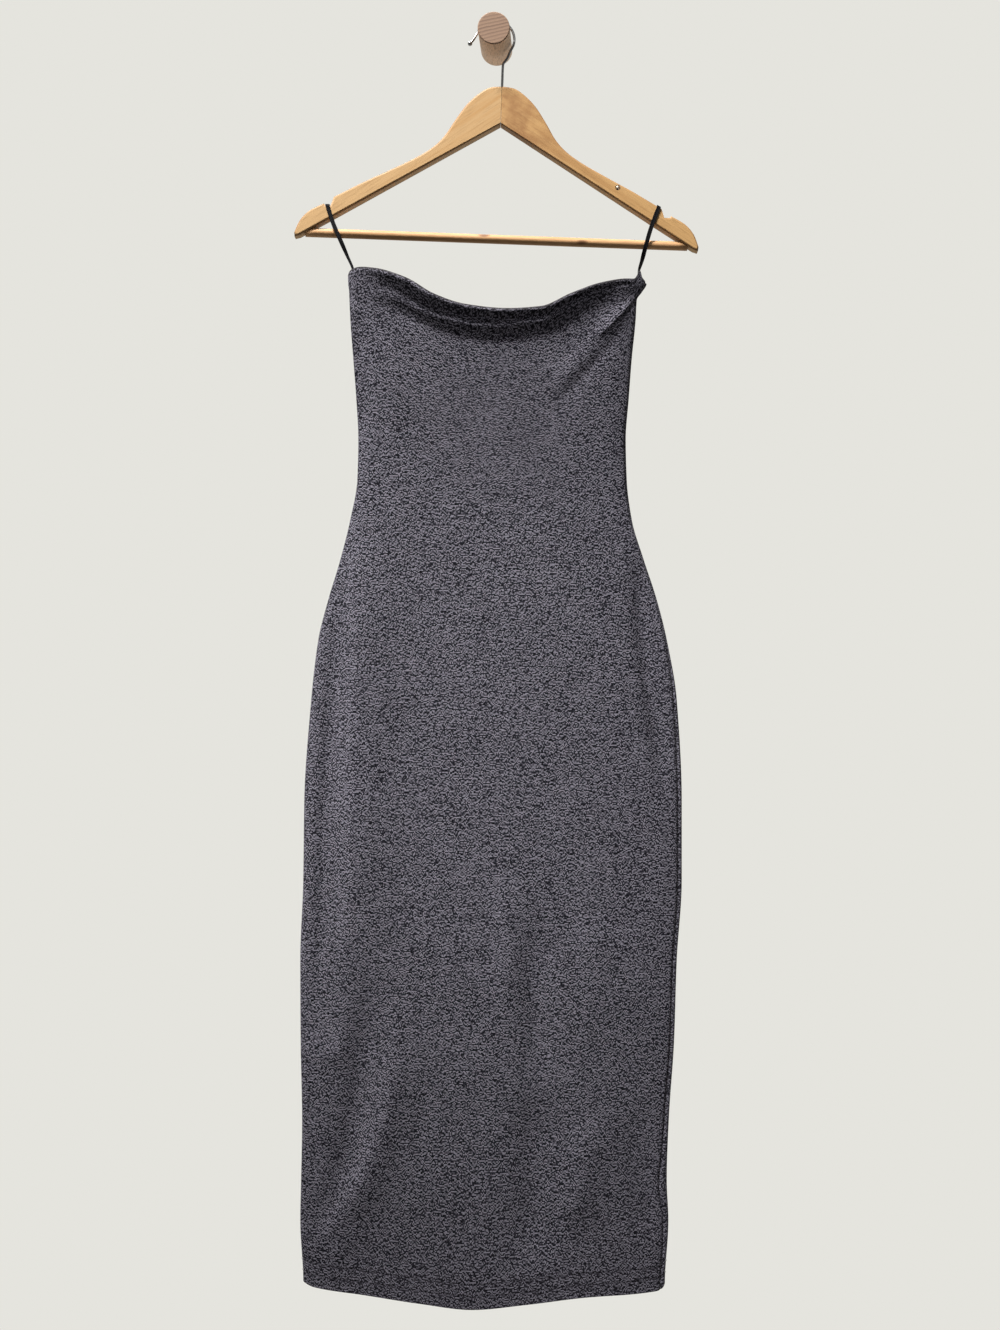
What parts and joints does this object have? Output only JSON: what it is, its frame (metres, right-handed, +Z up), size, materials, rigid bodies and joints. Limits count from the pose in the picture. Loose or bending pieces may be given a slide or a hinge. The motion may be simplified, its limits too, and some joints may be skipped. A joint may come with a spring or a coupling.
{
  "type": "strapless dress on wooden hanger and wall peg",
  "caption": "Fitted strapless midi dress, a hollow jersey tube with a cowl neckline, hung by ribbon loops on a wooden hanger and a round wall peg.",
  "frame": {"origin": "middle of the wall peg's flat back face, on the wall", "axes": "+Z up, +Y into the wall, +X to the right as seen from the front; the dress's front faces -Y"},
  "size_m": [0.4437, 0.0542, 1.413],
  "materials": {
    "jersey": "charcoal grey marl knit, matt with a slight sheen",
    "ribbon": "black satin ribbon",
    "hanger_wood": "pale varnished wood, fine grain",
    "peg_wood": "oiled wood, end grain to the front",
    "steel": "bright zinc plated wire"
  },
  "bodies": {
    "root": {"front_panel": "jersey", "back_panel": "jersey", "hanger_loop_left": "ribbon", "hanger_loop_right": "ribbon", "hanger_arm_left": "hanger_wood", "hanger_arm_right": "hanger_wood", "hanger_bar": "hanger_wood", "arm_screw": "steel", "hanger_hook": "steel", "wall_peg": "peg_wood"}
  },
  "joints": []
}
